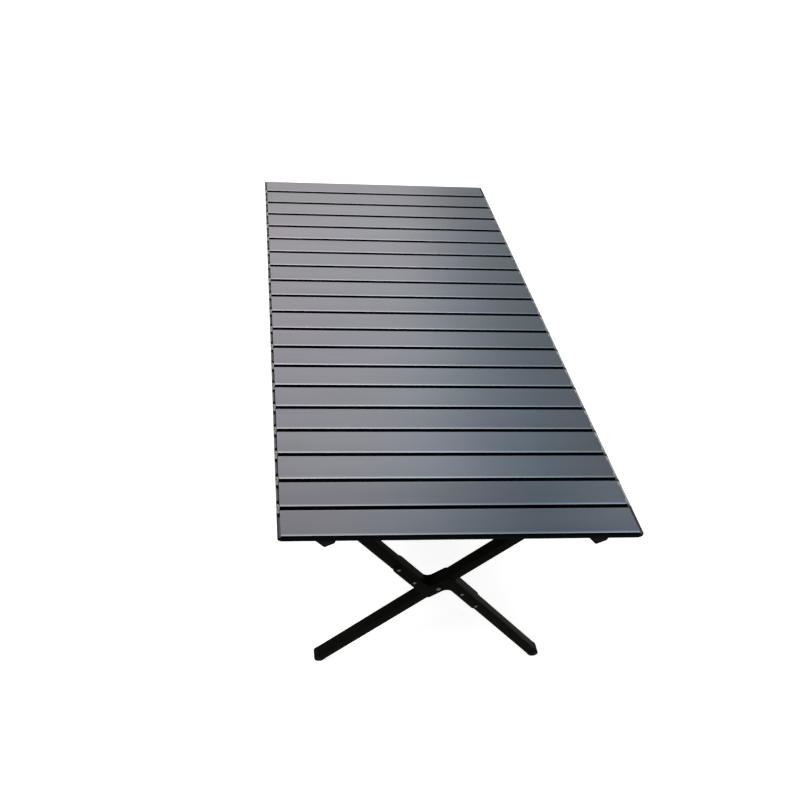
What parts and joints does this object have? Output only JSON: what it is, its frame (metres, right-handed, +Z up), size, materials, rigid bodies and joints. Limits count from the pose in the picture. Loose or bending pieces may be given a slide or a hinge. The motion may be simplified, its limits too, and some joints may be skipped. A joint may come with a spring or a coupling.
{
  "type": "folding camp table",
  "caption": "Low folding camp table with a roll-up slatted metal top on two pairs of crossed square-tube legs and folding side rails.",
  "frame": {"origin": "on the ground under the middle of the table top", "axes": "+X right along the slats, +Y away from the pictured end along the table's length, +Z up"},
  "size_m": [0.6, 1.2, 0.45],
  "materials": {
    "slat_aluminium": "satin dark grey anodised extrusion, drawn lengthwise",
    "leg_coating": "satin black powder coat on square tube",
    "hub_coating": "satin black coated steel plate with grey rivets",
    "rail_coating": "satin black powder coat on square tube",
    "foot_plastic": "black moulded plastic, fine grain",
    "bracket_plastic": "black moulded plastic, fine grain",
    "joint_plastic": "black moulded plastic, fine grain",
    "hook_plastic": "black moulded plastic, fine grain",
    "pin_steel": "zinc-plated steel, dull grey"
  },
  "bodies": {
    "left_side": {"bracket_near_left": "bracket_plastic", "leg_pin_near_left": "pin_steel", "rail_pin_near_left": "pin_steel", "rail_left_near": "rail_coating", "rail_joint_left": "joint_plastic", "rail_left_far": "rail_coating", "bracket_far_left": "bracket_plastic", "leg_pin_far_left": "pin_steel", "rail_pin_far_left": "pin_steel"},
    "near_split_leg": {"leg_upper_near": "leg_coating", "leg_lower_near": "leg_coating", "hub_plate_near_front": "hub_coating", "hub_plate_near_back": "hub_coating", "hub_pivot_near": "pin_steel", "foot_near_right": "foot_plastic"},
    "near_long_leg": {"leg_long_near": "leg_coating", "foot_near_left": "foot_plastic"},
    "right_side": {"bracket_near_right": "bracket_plastic", "leg_pin_near_right": "pin_steel", "rail_pin_near_right": "pin_steel", "rail_right_near": "rail_coating", "rail_joint_right": "joint_plastic", "rail_right_far": "rail_coating", "bracket_far_right": "bracket_plastic", "leg_pin_far_right": "pin_steel", "rail_pin_far_right": "pin_steel"},
    "far_split_leg": {"leg_upper_far": "leg_coating", "leg_lower_far": "leg_coating", "hub_plate_far_front": "hub_coating", "hub_plate_far_back": "hub_coating", "hub_pivot_far": "pin_steel", "foot_far_right": "foot_plastic"},
    "far_long_leg": {"leg_long_far": "leg_coating", "foot_far_left": "foot_plastic"},
    "top_slat_01": {"slat_01": "slat_aluminium", "end_hook_near_left": "hook_plastic", "end_hook_near_right": "hook_plastic"},
    "top_slat_02": {"slat_02": "slat_aluminium"},
    "top_slat_03": {"slat_03": "slat_aluminium"},
    "top_slat_04": {"slat_04": "slat_aluminium"},
    "top_slat_05": {"slat_05": "slat_aluminium"},
    "top_slat_06": {"slat_06": "slat_aluminium"},
    "top_slat_07": {"slat_07": "slat_aluminium"},
    "top_slat_08": {"slat_08": "slat_aluminium"},
    "top_slat_09": {"slat_09": "slat_aluminium"},
    "top_slat_10": {"slat_10": "slat_aluminium"},
    "top_slat_11": {"slat_11": "slat_aluminium"},
    "top_slat_12": {"slat_12": "slat_aluminium"},
    "top_slat_13": {"slat_13": "slat_aluminium"},
    "top_slat_14": {"slat_14": "slat_aluminium"},
    "top_slat_15": {"slat_15": "slat_aluminium"},
    "top_slat_16": {"slat_16": "slat_aluminium"},
    "top_slat_17": {"slat_17": "slat_aluminium"},
    "top_slat_18": {"slat_18": "slat_aluminium"},
    "top_slat_19": {"slat_19": "slat_aluminium"},
    "top_slat_20": {"slat_20": "slat_aluminium", "end_hook_far_left": "hook_plastic", "end_hook_far_right": "hook_plastic"}
  },
  "joints": [
    {"name": "leg_scissor", "type": "hinge", "parent": "left_side", "child": "near_split_leg", "pos_m": [-0.19204, -0.5405, 0.4245], "axis": [0, 1, 0], "range_deg": [0, 41.15]},
    {"name": "near_leg_cross", "type": "hinge", "parent": "near_split_leg", "child": "near_long_leg", "pos_m": [0, -0.5405, 0.2394], "axis": [0, 1, 0], "range_deg": [-82.3, 0]},
    {"name": "near_right_leg_top", "type": "hinge", "parent": "near_long_leg", "child": "right_side", "pos_m": [0.16176, -0.5405, 0.4245], "axis": [0, 1, 0], "range_deg": [0, 41.15]},
    {"name": "far_left_leg_top", "type": "hinge", "parent": "left_side", "child": "far_split_leg", "pos_m": [-0.19204, 0.5405, 0.4245], "axis": [0, 1, 0], "range_deg": [0, 41.15]},
    {"name": "far_leg_cross", "type": "hinge", "parent": "far_split_leg", "child": "far_long_leg", "pos_m": [0, 0.5405, 0.2394], "axis": [0, 1, 0], "range_deg": [-82.3, 0]},
    {"name": "top_lift", "type": "slide", "parent": "left_side", "child": "top_slat_01", "axis": [0, 0, 1], "range_m": [0, 0.1]},
    {"name": "slat_hinge_01", "type": "hinge", "parent": "top_slat_01", "child": "top_slat_02", "pos_m": [0, -0.54225, 0.446], "axis": [1, 0, 0], "range_deg": [0, 30.4]},
    {"name": "slat_hinge_02", "type": "hinge", "parent": "top_slat_02", "child": "top_slat_03", "pos_m": [0, -0.482, 0.446], "axis": [1, 0, 0], "range_deg": [0, 31]},
    {"name": "slat_hinge_03", "type": "hinge", "parent": "top_slat_03", "child": "top_slat_04", "pos_m": [0, -0.42175, 0.446], "axis": [1, 0, 0], "range_deg": [0, 31.7]},
    {"name": "slat_hinge_04", "type": "hinge", "parent": "top_slat_04", "child": "top_slat_05", "pos_m": [0, -0.3615, 0.446], "axis": [1, 0, 0], "range_deg": [0, 32.5]},
    {"name": "slat_hinge_05", "type": "hinge", "parent": "top_slat_05", "child": "top_slat_06", "pos_m": [0, -0.30125, 0.446], "axis": [1, 0, 0], "range_deg": [0, 33.3]},
    {"name": "slat_hinge_06", "type": "hinge", "parent": "top_slat_06", "child": "top_slat_07", "pos_m": [0, -0.241, 0.446], "axis": [1, 0, 0], "range_deg": [0, 34.2]},
    {"name": "slat_hinge_07", "type": "hinge", "parent": "top_slat_07", "child": "top_slat_08", "pos_m": [0, -0.18075, 0.446], "axis": [1, 0, 0], "range_deg": [0, 35.2]},
    {"name": "slat_hinge_08", "type": "hinge", "parent": "top_slat_08", "child": "top_slat_09", "pos_m": [0, -0.1205, 0.446], "axis": [1, 0, 0], "range_deg": [0, 36.2]},
    {"name": "slat_hinge_09", "type": "hinge", "parent": "top_slat_09", "child": "top_slat_10", "pos_m": [0, -0.06025, 0.446], "axis": [1, 0, 0], "range_deg": [0, 37.4]},
    {"name": "slat_hinge_10", "type": "hinge", "parent": "top_slat_10", "child": "top_slat_11", "pos_m": [0, 0, 0.446], "axis": [1, 0, 0], "range_deg": [0, 38.7]},
    {"name": "slat_hinge_11", "type": "hinge", "parent": "top_slat_11", "child": "top_slat_12", "pos_m": [0, 0.06025, 0.446], "axis": [1, 0, 0], "range_deg": [0, 40.1]},
    {"name": "slat_hinge_12", "type": "hinge", "parent": "top_slat_12", "child": "top_slat_13", "pos_m": [0, 0.1205, 0.446], "axis": [1, 0, 0], "range_deg": [0, 41.7]},
    {"name": "slat_hinge_13", "type": "hinge", "parent": "top_slat_13", "child": "top_slat_14", "pos_m": [0, 0.18075, 0.446], "axis": [1, 0, 0], "range_deg": [0, 43.6]},
    {"name": "slat_hinge_14", "type": "hinge", "parent": "top_slat_14", "child": "top_slat_15", "pos_m": [0, 0.241, 0.446], "axis": [1, 0, 0], "range_deg": [0, 45.7]},
    {"name": "slat_hinge_15", "type": "hinge", "parent": "top_slat_15", "child": "top_slat_16", "pos_m": [0, 0.30125, 0.446], "axis": [1, 0, 0], "range_deg": [0, 48.1]},
    {"name": "slat_hinge_16", "type": "hinge", "parent": "top_slat_16", "child": "top_slat_17", "pos_m": [0, 0.3615, 0.446], "axis": [1, 0, 0], "range_deg": [0, 51.1]},
    {"name": "slat_hinge_17", "type": "hinge", "parent": "top_slat_17", "child": "top_slat_18", "pos_m": [0, 0.42175, 0.446], "axis": [1, 0, 0], "range_deg": [0, 54.6]},
    {"name": "slat_hinge_18", "type": "hinge", "parent": "top_slat_18", "child": "top_slat_19", "pos_m": [0, 0.482, 0.446], "axis": [1, 0, 0], "range_deg": [0, 59.1]},
    {"name": "slat_hinge_19", "type": "hinge", "parent": "top_slat_19", "child": "top_slat_20", "pos_m": [0, 0.54225, 0.446], "axis": [1, 0, 0], "range_deg": [0, 65.1]}
  ],
  "couplings": [
    {"joint": "near_leg_cross", "follows": "leg_scissor", "ratio": -2},
    {"joint": "near_right_leg_top", "follows": "leg_scissor", "ratio": 1},
    {"joint": "far_left_leg_top", "follows": "leg_scissor", "ratio": 1},
    {"joint": "far_leg_cross", "follows": "leg_scissor", "ratio": -2}
  ]
}
